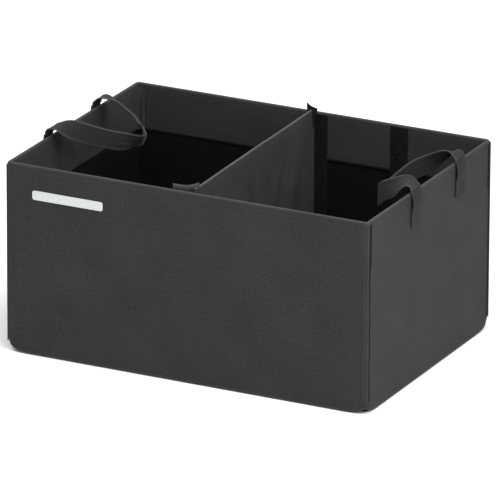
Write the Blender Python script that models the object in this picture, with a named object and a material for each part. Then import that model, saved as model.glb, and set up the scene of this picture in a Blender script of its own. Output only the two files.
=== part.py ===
"""Collapsible storage crate of stiffened fabric, with a divider and two strap handles.

Units are metres. X runs along the long walls, Y from the front wall to the back wall, Z up.
The origin is the middle of the footprint, on the surface that the crate stands on.

The crate folds like a paper bag. Each end wall is two half walls with a crease between them,
and the creases move inwards. The base is two half boards, whose middle rises as the back wall
comes forward. Soft fabric triangles join the base boards to the end walls.
"""

import math

import bmesh
import bpy
from mathutils import Vector

# Overall size, measured over the outer faces of the walls
WIDTH = 0.508
DEPTH = 0.360
HEIGHT = 0.254

# Layers of a wall and of the base, from the outside to the inside
SKIN = 0.0010
BOARD = 0.0024
LINING = 0.0010
GAP = 0.0003
WALL = SKIN + GAP + BOARD + GAP + LINING

# Corners: the long walls' fabric turns round the corner and carries the end walls' hinge line
CORNER_RADIUS = 0.006
FOOT_RADIUS = 0.014
CORNER_RETURN = 0.016
HINGE_ROOM = 0.002
CREASE_ROOM = 0.0005
BOARD_INSET = 0.006
BOARD_RADIUS = 0.010
PIPING_RADIUS = 0.0009

# Top hem: fabric folded over the rim and sewn down inside
HEM_DEPTH = 0.062
RIM_HEIGHT = 0.0027
FLOOR_CLEARANCE = 0.0065

# Base boards
BASE_HINGE_INSET = 0.0105
BASE_EDGE_ROOM = 0.001
BASE_END_ROOM = 0.006
GUSSET_ROOM = 0.0008
GUSSET_THICKNESS = 0.0012

# Hook-and-loop strips on the long walls
CENTRE_STRIP_WIDTH = 0.050
SIDE_STRIP_WIDTH = 0.025
STRIP_THICKNESS = 0.0012
STRIP_BOTTOM = 0.020
STRIP_TOP_ROOM = 0.004
SIDE_STRIP_X = 0.127

# Divider
DIVIDER_SKIN = 0.0008
DIVIDER_CORE = 0.0016
DIVIDER_BOTTOM = 0.008
DIVIDER_RISE = 0.003
DIVIDER_BINDING = 0.006
DIVIDER_BINDING_SKIN = 0.0009
FLANGE_THICKNESS = 0.0010
FLANGE_WIDTH = 0.032
FLANGE_RISE = 0.006
FLANGE_RADIUS = 0.004

# Strap handles
STRAP_WIDTH = 0.0254
STRAP_THICKNESS = 0.0018
STRAP_SPACING = 0.130
ANCHOR_LENGTH = 0.045
ANCHOR_TOP = 0.0008
STRAP_AXIS_RISE = 0.0022
LEFT_HANDLE_Y = 0.004
RIGHT_HANDLE_Y = 0.019

# Half of each handle's middle line: distance inwards, distance from the loop's middle as a share
# of the half spacing, and height over the rim
LEFT_LOOP = [
    (0.0000, 1.00, 0.0022),
    (0.0015, 1.00, 0.0080),
    (0.0080, 1.00, 0.0125),
    (0.0200, 0.97, 0.0125),
    (0.0400, 0.90, 0.0080),
    (0.0620, 0.74, 0.0010),
    (0.0810, 0.50, -0.0060),
    (0.0930, 0.24, -0.0105),
    (0.0970, 0.00, -0.0120),
]
RIGHT_LOOP = [
    (0.0000, 1.00, 0.0022),
    (0.0015, 1.00, 0.0080),
    (0.0080, 1.00, 0.0115),
    (0.0180, 0.97, 0.0090),
    (0.0360, 0.86, -0.0030),
    (0.0560, 0.66, -0.0150),
    (0.0690, 0.42, -0.0270),
    (0.0765, 0.18, -0.0345),
    (0.0785, 0.00, -0.0370),
]
LOOP_STEPS = 4

# Sides of the rounded corner, the rounded rim and the piping, and the share of the rim that is round
CORNER_STEPS = 6
RIM_STEPS = 6
PIPING_SIDES = 8
RIM_ROUND_SHARE = 0.6
FOOT_MIDDLE_SHARE = 0.7

# How far each strap's width is turned up from level, in degrees, at shares of its loop
LEFT_TURNS = (
    (0.00, 0), (0.13, 0), (0.28, 78), (0.37, 92), (0.49, 134), (0.55, 94), (0.62, 58), (0.72, 40),
    (0.90, 0), (1.00, 0),
)
RIGHT_TURNS = ((0.00, 0), (0.09, 0), (0.30, 90), (0.70, 90), (0.91, 0), (1.00, 0))

HALF_WIDTH = WIDTH / 2
HALF_DEPTH = DEPTH / 2
HINGE_Y = HALF_DEPTH - CORNER_RETURN
BASE_HINGE_Y = HALF_DEPTH - BASE_HINGE_INSET
WALL_TOP = HEIGHT - RIM_HEIGHT - GAP
HEM_BOTTOM = HEIGHT - HEM_DEPTH
STRIP_FACE = HALF_DEPTH - WALL - GAP - STRIP_THICKNESS
STRAP_AXIS_X = HALF_WIDTH + GAP + STRAP_THICKNESS / 2
STRAP_AXIS_Z = HEIGHT + STRAP_AXIS_RISE
DIVIDER_HALF = DIVIDER_CORE / 2 + GAP + DIVIDER_SKIN

COLOURS = {
    "shell_fabric": ((0.030, 0.031, 0.033), 0.85),
    "lining_fabric": ((0.026, 0.027, 0.028), 0.80),
    "stiffener": ((0.09, 0.09, 0.09), 0.60),
    "loop_tape": ((0.014, 0.015, 0.015), 0.95),
    "divider_fabric": ((0.045, 0.046, 0.046), 0.80),
    "webbing": ((0.040, 0.042, 0.041), 0.75),
    "binding": ((0.050, 0.050, 0.052), 0.70),
}


def clear_scene():
    """Remove every object, so that the crate is the only thing in the file."""
    for thing in list(bpy.data.objects):
        bpy.data.objects.remove(thing, do_unlink=True)


def make_material(name):
    """One Principled material for a kind of surface."""
    colour, roughness = COLOURS[name]
    material = bpy.data.materials.new(name)
    material.use_nodes = True
    shader = material.node_tree.nodes["Principled BSDF"]
    shader.inputs["Base Color"].default_value = (*colour, 1.0)
    shader.inputs["Roughness"].default_value = roughness
    shader.inputs["Metallic"].default_value = 0.0
    return material


def make_body(name, axis_point, parent=None):
    """An empty on a body's joint axis, which carries the pieces that move together."""
    empty = bpy.data.objects.new(name + "_axis", None)
    bpy.context.scene.collection.objects.link(empty)
    parent_place = Vector((0, 0, 0))
    if parent is not None:
        empty.parent = parent
        parent_place = Vector(parent["place"])
    empty["place"] = axis_point
    empty.location = Vector(axis_point) - parent_place
    return empty


def add_piece(name, bm, kind, body):
    """Turn a mesh in crate coordinates into a named piece that rides on a body."""
    bmesh.ops.recalc_face_normals(bm, faces=bm.faces)
    place = Vector(body["place"])
    bmesh.ops.translate(bm, verts=bm.verts, vec=-place)
    mesh = bpy.data.meshes.new(name)
    bm.to_mesh(mesh)
    bm.free()
    mesh.materials.append(MATERIALS[kind])
    piece = bpy.data.objects.new(name, mesh)
    bpy.context.scene.collection.objects.link(piece)
    piece.parent = body
    return piece


def prism(outline, axis, start, thickness):
    """A closed outline in the plane across an axis, extruded along that axis."""
    bm = bmesh.new()

    def corner(point):
        a, b = point
        if axis == "X":
            return (start, a, b)
        if axis == "Y":
            return (a, start, b)
        return (a, b, start)

    step = {"X": (thickness, 0, 0), "Y": (0, thickness, 0), "Z": (0, 0, thickness)}[axis]
    face = bm.faces.new([bm.verts.new(corner(point)) for point in outline])
    extruded = bmesh.ops.extrude_face_region(bm, geom=[face])
    moved = [item for item in extruded["geom"] if isinstance(item, bmesh.types.BMVert)]
    bmesh.ops.translate(bm, verts=moved, vec=step)
    return bm


def rectangle(low_a, low_b, high_a, high_b, radii=(0, 0, 0, 0), steps=4):
    """A rectangle's outline, its corners rounded: low-low, high-low, high-high, low-high."""
    corners = [(low_a, low_b, 180), (high_a, low_b, 270), (high_a, high_b, 0), (low_a, high_b, 90)]
    inward = [(1, 1), (-1, 1), (-1, -1), (1, -1)]
    points = []
    for (a, b, start), (side_a, side_b), radius in zip(corners, inward, radii):
        if radius == 0:
            points.append((a, b))
            continue
        centre_a = a + side_a * radius
        centre_b = b + side_b * radius
        for step in range(steps + 1):
            angle = math.radians(start + 90 * step / steps)
            points.append((centre_a + radius * math.cos(angle), centre_b + radius * math.sin(angle)))
    return points


def foot_height(x):
    """Height of a long wall's lower edge, which curves up towards the crate's corners."""
    past = abs(x) - (HALF_WIDTH - FOOT_RADIUS)
    if past <= 0:
        return 0.0
    return FOOT_RADIUS - math.sqrt(max(FOOT_RADIUS ** 2 - past ** 2, 0.0))


def corner_path(side):
    """Plan of a long wall's outer fabric: a return, a rounded corner, the face and back again.

    Each entry is a point and the direction to the inside. side is -1 at the front, 1 at the back.
    """
    half = []
    centre_x = HALF_WIDTH - CORNER_RADIUS
    centre_y = HALF_DEPTH - CORNER_RADIUS
    for x in (0.0, HALF_WIDTH - FOOT_RADIUS, HALF_WIDTH - FOOT_MIDDLE_SHARE * FOOT_RADIUS):
        half.append(((x, HALF_DEPTH), (0, -1)))
    for step in range(CORNER_STEPS + 1):
        angle = math.radians(90 * (1 - step / CORNER_STEPS))
        outward = (math.cos(angle), math.sin(angle))
        point = (centre_x + CORNER_RADIUS * outward[0], centre_y + CORNER_RADIUS * outward[1])
        half.append((point, (-outward[0], -outward[1])))
    half.append(((HALF_WIDTH, HINGE_Y), (-1, 0)))
    left = [((-p[0], side * p[1]), (-n[0], side * n[1])) for p, n in reversed(half)]
    right = [((p[0], side * p[1]), (n[0], side * n[1])) for p, n in half[1:]]
    return left + right


def wrapped_panel(side):
    """A long wall's outer fabric with its two corner returns."""
    bm = bmesh.new()
    rings = []
    for (x, y), (inward_x, inward_y) in corner_path(side):
        low = foot_height(x)
        inner = (x + inward_x * SKIN, y + inward_y * SKIN)
        places = [(x, y, low), (inner[0], inner[1], low), (inner[0], inner[1], WALL_TOP), (x, y, WALL_TOP)]
        rings.append([bm.verts.new(place) for place in places])
    join_rings(bm, rings)
    return bm


def join_rings(bm, rings):
    """Skin a row of four-cornered rings and close both ends."""
    for ring, following in zip(rings, rings[1:]):
        for index in range(4):
            after = (index + 1) % 4
            bm.faces.new((ring[index], ring[after], following[after], following[index]))
    bm.faces.new(rings[0])
    bm.faces.new(list(reversed(rings[-1])))


def rim_outline(outer, inner):
    """Section of the folded rim: flat below and round on top."""
    middle = (outer + inner) / 2
    half = abs(inner - outer) / 2
    low = HEIGHT - RIM_HEIGHT
    shoulder = HEIGHT - RIM_HEIGHT * RIM_ROUND_SHARE
    points = [(middle - half, low), (middle + half, low)]
    for step in range(RIM_STEPS + 1):
        angle = math.pi * step / RIM_STEPS
        rise = (HEIGHT - shoulder) * math.sin(angle)
        points.append((middle + half * math.cos(angle), shoulder + rise))
    return points


def add_long_wall(side_name, side, body):
    """The front or back wall: outer fabric, board, lining, hem, rim, strips and corner piping."""
    add_piece(side_name + "_outer_panel", wrapped_panel(side), "shell_fabric", body)
    board_x = HALF_WIDTH - CORNER_RADIUS
    outline = rectangle(
        -board_x, BOARD_INSET, board_x, WALL_TOP - GAP, (BOARD_RADIUS, BOARD_RADIUS, 0, 0)
    )
    board_y = side * (HALF_DEPTH - SKIN - GAP)
    board = prism(outline, "Y", board_y, -side * BOARD)
    add_piece(side_name + "_stiffener", board, "stiffener", body)
    lining_y = side * (HALF_DEPTH - WALL + LINING)
    lining_x = HALF_WIDTH - WALL
    lower = rectangle(-lining_x, FLOOR_CLEARANCE, lining_x, HEM_BOTTOM - GAP)
    add_piece(side_name + "_lining", prism(lower, "Y", lining_y, -side * LINING), "lining_fabric", body)
    upper = rectangle(-lining_x, HEM_BOTTOM, lining_x, WALL_TOP)
    add_piece(side_name + "_hem_facing", prism(upper, "Y", lining_y, -side * LINING), "shell_fabric", body)
    section = rim_outline(side * HALF_DEPTH, side * (HALF_DEPTH - WALL))
    rim_length = 2 * (HALF_WIDTH - CORNER_RADIUS)
    rim = prism(section, "X", -rim_length / 2, rim_length)
    add_piece(side_name + "_rim_fold", rim, "binding", body)
    for place, x, width in (
        ("centre", 0.0, CENTRE_STRIP_WIDTH),
        ("side", SIDE_STRIP_X, SIDE_STRIP_WIDTH),
    ):
        strip_shape = rectangle(
            x - width / 2, STRIP_BOTTOM, x + width / 2, HEIGHT - STRIP_TOP_ROOM
        )
        strip = prism(strip_shape, "Y", side * (STRIP_FACE + STRIP_THICKNESS), -side * STRIP_THICKNESS)
        add_piece(side_name + "_" + place + "_loop_strip", strip, "loop_tape", body)
    for end_name, end in (("left", -1), ("right", 1)):
        add_corner_piping(side_name + "_" + end_name + "_corner_piping", end, side, body)


def add_corner_piping(name, end, side, body):
    """A thin round piping that stands in front of a rounded corner, inside the crate's outline."""
    reach = CORNER_RADIUS + GAP + PIPING_RADIUS
    centre_x = end * (HALF_WIDTH - CORNER_RADIUS + reach * math.sqrt(0.5))
    centre_y = side * (HALF_DEPTH - CORNER_RADIUS + reach * math.sqrt(0.5))
    outline = []
    for step in range(PIPING_SIDES):
        angle = math.radians(360 * step / PIPING_SIDES)
        x = centre_x + PIPING_RADIUS * math.cos(angle)
        y = centre_y + PIPING_RADIUS * math.sin(angle)
        outline.append((x, y))
    piping = prism(outline, "Z", FOOT_RADIUS, WALL_TOP - FOOT_RADIUS)
    piece = add_piece(name, piping, "binding", body)
    piece.data.shade_smooth()
    piece.data.set_sharp_from_angle(angle=math.radians(50))


def add_end_half(name, end, half, strap_y, body):
    """Half of an end wall, between its corner hinge and the crease in the middle."""
    near = half * CREASE_ROOM
    far = half * (HINGE_Y - HINGE_ROOM)
    low_y, high_y = min(near, far), max(near, far)
    outer = end * HALF_WIDTH
    skin_shape = rectangle(low_y, 0.0, high_y, WALL_TOP)
    add_piece(name + "_outer_panel", prism(skin_shape, "X", outer, -end * SKIN), "shell_fabric", body)
    board_shape = rectangle(
        low_y + GAP, BOARD_INSET, high_y - GAP, WALL_TOP - GAP, (BOARD_RADIUS / 2, BOARD_RADIUS / 2, 0, 0)
    )
    board_x = end * (HALF_WIDTH - SKIN - GAP)
    add_piece(name + "_stiffener", prism(board_shape, "X", board_x, -end * BOARD), "stiffener", body)
    lining_x = end * (HALF_WIDTH - WALL + LINING)
    lower = rectangle(low_y, FLOOR_CLEARANCE, high_y, HEM_BOTTOM - GAP)
    add_piece(name + "_lining", prism(lower, "X", lining_x, -end * LINING), "lining_fabric", body)
    upper = rectangle(low_y, HEM_BOTTOM, high_y, WALL_TOP)
    add_piece(name + "_hem_facing", prism(upper, "X", lining_x, -end * LINING), "shell_fabric", body)
    section = rim_outline(end * HALF_WIDTH, end * (HALF_WIDTH - WALL))
    rim = prism(section, "Y", low_y, high_y - low_y)
    add_piece(name + "_rim_fold", rim, "binding", body)
    anchor_shape = rectangle(
        strap_y - STRAP_WIDTH / 2, HEIGHT - ANCHOR_LENGTH, strap_y + STRAP_WIDTH / 2, HEIGHT + ANCHOR_TOP
    )
    anchor_x = end * (HALF_WIDTH + GAP)
    anchor = prism(anchor_shape, "X", anchor_x, end * STRAP_THICKNESS)
    add_piece(name + "_strap_anchor", anchor, "webbing", body)


def base_outline(half):
    """A base board's trapezoid: its slanted ends leave room for the end walls to fold inwards."""
    near = half * CREASE_ROOM
    far = half * (BASE_HINGE_Y - BASE_EDGE_ROOM)
    wide = HALF_WIDTH - BASE_END_ROOM - BASE_EDGE_ROOM
    narrow = HALF_WIDTH - BASE_END_ROOM - (BASE_HINGE_Y - CREASE_ROOM)
    return [(-wide, far), (wide, far), (narrow, near), (-narrow, near)]


def add_base_half(name, half, body):
    """Half of the base: outer fabric, board and lining, all cut to the same trapezoid."""
    outline = base_outline(half)
    layers = [
        ("_outer_fabric", 0.0, SKIN, "shell_fabric"),
        ("_board", SKIN + GAP, BOARD, "stiffener"),
        ("_lining", WALL - LINING, LINING, "lining_fabric"),
    ]
    for suffix, low, thickness, kind in layers:
        add_piece(name + suffix, prism(outline, "Z", low, thickness), kind, body)


def add_floor_gusset(name, end, body):
    """The soft triangle of floor between an end wall and the two base boards."""
    wall_x = end * (HALF_WIDTH - WALL - GAP)
    reach = BASE_HINGE_Y - GUSSET_ROOM * math.sqrt(2) - BASE_END_ROOM + WALL + GAP
    tip_x = wall_x - end * reach
    outline = [(wall_x, -reach), (wall_x, reach), (tip_x, 0.0)]
    add_piece(name, prism(outline, "Z", 0.0, GUSSET_THICKNESS), "shell_fabric", body)


def add_divider(body):
    """The divider: a padded panel with a bound top edge and two flanges that grip the loop strips."""
    flange_outer = STRIP_FACE - GAP
    panel_y = flange_outer - FLANGE_THICKNESS - GAP
    panel_top = HEIGHT + DIVIDER_RISE - DIVIDER_BINDING_SKIN - GAP
    shape = rectangle(-panel_y, DIVIDER_BOTTOM, panel_y, panel_top)
    inner_shape = rectangle(-panel_y + GAP, DIVIDER_BOTTOM + GAP, panel_y - GAP, panel_top - GAP)
    skin_x = DIVIDER_CORE / 2 + GAP
    add_piece("divider_left_skin", prism(shape, "X", -skin_x, -DIVIDER_SKIN), "divider_fabric", body)
    core = prism(inner_shape, "X", -DIVIDER_CORE / 2, DIVIDER_CORE)
    add_piece("divider_core", core, "stiffener", body)
    add_piece("divider_right_skin", prism(shape, "X", skin_x, DIVIDER_SKIN), "divider_fabric", body)
    inner = DIVIDER_HALF + GAP
    outer = inner + DIVIDER_BINDING_SKIN
    top = HEIGHT + DIVIDER_RISE
    low = top - DIVIDER_BINDING
    roof = top - DIVIDER_BINDING_SKIN
    section = [
        (-outer, low), (-inner, low), (-inner, roof), (inner, roof),
        (inner, low), (outer, low), (outer, top), (-outer, top),
    ]
    binding = prism(section, "Y", -panel_y, 2 * panel_y)
    add_piece("divider_top_binding", binding, "binding", body)
    flange_top = HEIGHT + FLANGE_RISE
    flange_shape = rectangle(
        -FLANGE_WIDTH, DIVIDER_BOTTOM, DIVIDER_HALF, flange_top, (FLANGE_RADIUS, 0, 0, FLANGE_RADIUS)
    )
    for side_name, side in (("front", -1), ("back", 1)):
        flange = prism(flange_shape, "Y", side * flange_outer, -side * FLANGE_THICKNESS)
        add_piece("divider_" + side_name + "_hook_flange", flange, "divider_fabric", body)


def smooth_curve(points, steps):
    """Points along a Catmull-Rom curve through the given points."""
    ends = [2 * points[0] - points[1], 2 * points[-1] - points[-2]]
    padded = [ends[0]] + points + [ends[1]]
    curve = []
    for before, here, after, beyond in zip(padded, padded[1:], padded[2:], padded[3:]):
        for step in range(steps):
            t = step / steps
            a = 2 * here
            b = after - before
            c = 2 * before - 5 * here + 4 * after - beyond
            d = 3 * here - before - 3 * after + beyond
            curve.append(0.5 * (a + b * t + c * t * t + d * t ** 3))
    curve.append(points[-1].copy())
    return curve


def loop_centre_line(end, centre_y, half_loop):
    """A handle's middle line, from its front strap end over the rim and back to its other end."""
    front = []
    for inward, share, rise in half_loop:
        y = centre_y - share * STRAP_SPACING / 2
        front.append(Vector((end * (STRAP_AXIS_X - inward), y, HEIGHT + rise)))
    back = [Vector((p.x, 2 * centre_y - p.y, p.z)) for p in reversed(front[:-1])]
    return smooth_curve(front + back, LOOP_STEPS)


def strap_turn(share, turns):
    """Turn of the strap's width up from level at a share of its loop, eased between the entries."""
    for (start, before), (end, after) in zip(turns, turns[1:]):
        if share <= end:
            step = (share - start) / (end - start)
            return math.radians(before + (after - before) * step * step * (3 - 2 * step))
    return math.radians(turns[-1][1])


def add_handle(name, end, centre_y, half_loop, turns, body):
    """A flat strap swept along its loop, level on the rim and turned up on its way round."""
    line = loop_centre_line(end, centre_y, half_loop)
    bm = bmesh.new()
    rings = []
    last = len(line) - 1
    for index, point in enumerate(line):
        run = line[min(index + 1, last)] - line[max(index - 1, 0)]
        along = run.normalized()
        level = Vector((end * run.y, -end * run.x, 0)).normalized()
        turn = strap_turn(index / last, turns)
        across = level * math.cos(turn) + Vector((0, 0, math.sin(turn)))
        across = (across - along * across.dot(along)).normalized()
        normal = along.cross(across)
        half_width = across * STRAP_WIDTH / 2
        half_thick = normal * STRAP_THICKNESS / 2
        corners = [
            point - half_width - half_thick, point + half_width - half_thick,
            point + half_width + half_thick, point - half_width + half_thick,
        ]
        rings.append([bm.verts.new(corner) for corner in corners])
    join_rings(bm, rings)
    piece = add_piece(name, bm, "webbing", body)
    piece.data.shade_smooth()
    piece.data.set_sharp_from_angle(angle=math.radians(40))


clear_scene()
MATERIALS = {kind: make_material(kind) for kind in COLOURS}

front = make_body("front", (0, 0, 0))
left_front = make_body("left_front", (-HALF_WIDTH, -HINGE_Y, 0), front)
left_back = make_body("left_back", (-HALF_WIDTH, 0, 0), left_front)
back = make_body("back", (-HALF_WIDTH, HINGE_Y, 0), left_back)
right_front = make_body("right_front", (HALF_WIDTH, -HINGE_Y, 0), front)
right_back = make_body("right_back", (HALF_WIDTH, 0, 0), right_front)
base_front = make_body("base_front", (0, -BASE_HINGE_Y, 0), front)
base_back = make_body("base_back", (0, BASE_HINGE_Y, 0), back)
divider = make_body("divider", (0, 0, DIVIDER_BOTTOM), front)
left_handle = make_body("left_handle", (-STRAP_AXIS_X, LEFT_HANDLE_Y, STRAP_AXIS_Z), left_front)
right_handle = make_body("right_handle", (STRAP_AXIS_X, RIGHT_HANDLE_Y, STRAP_AXIS_Z), right_front)

add_long_wall("front", -1, front)
add_long_wall("back", 1, back)
for end_name, end, centre_y, near_body, far_body in (
    ("left", -1, LEFT_HANDLE_Y, left_front, left_back),
    ("right", 1, RIGHT_HANDLE_Y, right_front, right_back),
):
    front_strap_y = centre_y - STRAP_SPACING / 2
    back_strap_y = centre_y + STRAP_SPACING / 2
    add_end_half(end_name + "_front", end, -1, front_strap_y, near_body)
    add_end_half(end_name + "_back", end, 1, back_strap_y, far_body)
    add_floor_gusset("floor_gusset_" + end_name, end, front)
add_base_half("base_front", -1, base_front)
add_base_half("base_back", 1, base_back)
add_divider(divider)
add_handle("left_handle_strap", -1, LEFT_HANDLE_Y, LEFT_LOOP, LEFT_TURNS, left_handle)
add_handle("right_handle_strap", 1, RIGHT_HANDLE_Y, RIGHT_LOOP, RIGHT_TURNS, right_handle)
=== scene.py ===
"""Looks for the collapsible fabric storage crate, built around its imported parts.

Units are metres. X runs along the long walls, Y from the front wall to the back wall, Z up.
Every fabric piece is made here from the crate's own box: outer fabric with its turned rim and
hem, linings, base, divider, straps, loop tape and stitching.
"""

import math
from functools import partial
from itertools import product

import bmesh
import bpy
from mathutils import Matrix, Vector, noise


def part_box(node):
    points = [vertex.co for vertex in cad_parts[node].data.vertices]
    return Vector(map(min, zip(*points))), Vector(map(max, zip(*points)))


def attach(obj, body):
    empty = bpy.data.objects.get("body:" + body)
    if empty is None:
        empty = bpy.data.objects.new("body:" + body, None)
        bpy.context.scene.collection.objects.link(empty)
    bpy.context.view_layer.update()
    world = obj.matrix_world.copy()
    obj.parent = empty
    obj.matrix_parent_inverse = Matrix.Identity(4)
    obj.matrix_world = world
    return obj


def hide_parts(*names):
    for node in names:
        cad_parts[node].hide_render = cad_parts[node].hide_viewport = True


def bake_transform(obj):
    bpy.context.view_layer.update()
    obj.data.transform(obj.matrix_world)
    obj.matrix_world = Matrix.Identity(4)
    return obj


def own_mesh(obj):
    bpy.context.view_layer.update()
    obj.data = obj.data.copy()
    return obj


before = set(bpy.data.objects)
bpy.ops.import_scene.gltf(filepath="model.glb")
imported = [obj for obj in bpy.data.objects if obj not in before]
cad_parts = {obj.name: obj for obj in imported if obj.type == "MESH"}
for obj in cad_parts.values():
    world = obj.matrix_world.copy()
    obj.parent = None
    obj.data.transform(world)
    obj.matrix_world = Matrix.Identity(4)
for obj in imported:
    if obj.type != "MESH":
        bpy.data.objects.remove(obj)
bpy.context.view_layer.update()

# ---------------- sizes, from the frame

FRONT_LOW, FRONT_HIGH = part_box("front_outer_panel")
HALF_WIDTH = FRONT_HIGH.x
HALF_DEPTH = -FRONT_LOW.y
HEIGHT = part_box("front_rim_fold")[1].z
WALL = HALF_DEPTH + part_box("front_lining")[1].y
HEM_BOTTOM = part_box("front_hem_facing")[0].z
HINGE_Y = -FRONT_HIGH.y
BASE_FAR_Y = -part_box("base_front_board")[0].y
BASE_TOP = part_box("base_front_lining")[1].z
BASE_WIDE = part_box("base_front_board")[1].x
BASE_NARROW = BASE_WIDE - BASE_FAR_Y

SIDES = (("front", -1), ("back", 1))
ENDS = (("left", -1), ("right", 1))

CORNER_RADIUS = 0.006
EDGE_RADIUS = 0.0022
RIM_HALF = WALL / 2
CLOTH = 0.0007
FACE_STEP = 0.0065
UV_CLOSING = 0.0026
STITCH_LENGTH = 0.0026
STITCH_PITCH = 0.0040
STITCH_RADIUS = 0.00028
STITCH_CORNERS = 6


# ---------------- camera and light

CAMERA_AZIMUTH = math.radians(26.57)
CAMERA_ELEVATION = math.radians(19.755)
CAMERA_ROLL = math.radians(0.241)
CAMERA_DISTANCE = 10.2307
CAMERA_SIDE = -0.0009
CAMERA_RISE = 0.1197
SENSOR_WIDTH = 36.0
LENS_LENGTH = 576.0
LENS_SHIFT_X = 0.0028
LENS_SHIFT_Y = -0.0108
FLOOR_REACH = 14
FLOOR_DROP = 0.0005
WORLD_STRENGTH = 0.62


def make_camera():
    """A long lens at three-quarter view from the front right, a little above the rim."""
    data = bpy.data.cameras.new("camera")
    data.sensor_width = SENSOR_WIDTH
    data.lens = LENS_LENGTH
    data.clip_end = 50
    data.shift_x = LENS_SHIFT_X
    data.shift_y = LENS_SHIFT_Y
    camera = bpy.data.objects.new("camera", data)
    bpy.context.scene.collection.objects.link(camera)
    flat = math.cos(CAMERA_ELEVATION)
    back = Vector((
        math.sin(CAMERA_AZIMUTH) * flat,
        -math.cos(CAMERA_AZIMUTH) * flat,
        math.sin(CAMERA_ELEVATION),
    ))
    right = Vector((math.cos(CAMERA_AZIMUTH), math.sin(CAMERA_AZIMUTH), 0))
    up = back.cross(right)
    place = back * CAMERA_DISTANCE + right * CAMERA_SIDE + up * CAMERA_RISE
    rolled_right = right * math.cos(CAMERA_ROLL) + up * math.sin(CAMERA_ROLL)
    rolled_up = up * math.cos(CAMERA_ROLL) - right * math.sin(CAMERA_ROLL)
    turn = Matrix((rolled_right, rolled_up, back)).transposed()
    camera.matrix_world = Matrix.Translation(place) @ turn.to_4x4()
    bpy.context.scene.camera = camera


def area_light(name, place, target, size, power):
    """A square soft box that faces a point."""
    data = bpy.data.lights.new(name, "AREA")
    data.shape = "SQUARE"
    data.size = size
    data.energy = power
    light = bpy.data.objects.new(name, data)
    bpy.context.scene.collection.objects.link(light)
    light.location = place
    light.rotation_euler = (Vector(target) - Vector(place)).to_track_quat("-Z", "Y").to_euler()


def make_studio():
    """A white floor and world, and five soft boxes."""
    world = bpy.data.worlds.new("studio")
    world.use_nodes = True
    background = world.node_tree.nodes["Background"]
    background.inputs["Color"].default_value = (1.0, 1.0, 1.0, 1.0)
    background.inputs["Strength"].default_value = WORLD_STRENGTH
    bpy.context.scene.world = world
    bpy.context.scene.view_settings.view_transform = "Standard"
    area_light("key", (0.6, -1.5, 1.6), (0, 0, 0.24), 0.9, 17)
    area_light("side", (1.9, -0.4, 1.3), (0, 0, 0.15), 1.1, 15)
    area_light("overhead", (0.6, -0.5, 2.0), (0, 0, 0.2), 0.9, 24)
    area_light("back_rim", (0.1, 2.0, 1.9), (0, 0, 0.2), 1.2, 12)
    area_light("left_floor", (-1.5, 0.5, 1.0), (-0.35, -0.05, 0.0), 1.0, 9)
    bm = bmesh.new()
    bmesh.ops.create_grid(bm, x_segments=1, y_segments=1, size=FLOOR_REACH)
    bmesh.ops.translate(bm, verts=bm.verts, vec=(0, 0, -FLOOR_DROP))
    mesh = bpy.data.meshes.new("studio_floor")
    bm.to_mesh(mesh)
    bm.free()
    floor = bpy.data.objects.new("studio_floor", mesh)
    bpy.context.scene.collection.objects.link(floor)
    material = bpy.data.materials.new("studio_white")
    material.use_nodes = True
    shader = material.node_tree.nodes["Principled BSDF"]
    shader.inputs["Base Color"].default_value = (0.96, 0.96, 0.96, 1)
    shader.inputs["Roughness"].default_value = 0.9
    mesh.materials.append(material)


# ---------------- materials


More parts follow.
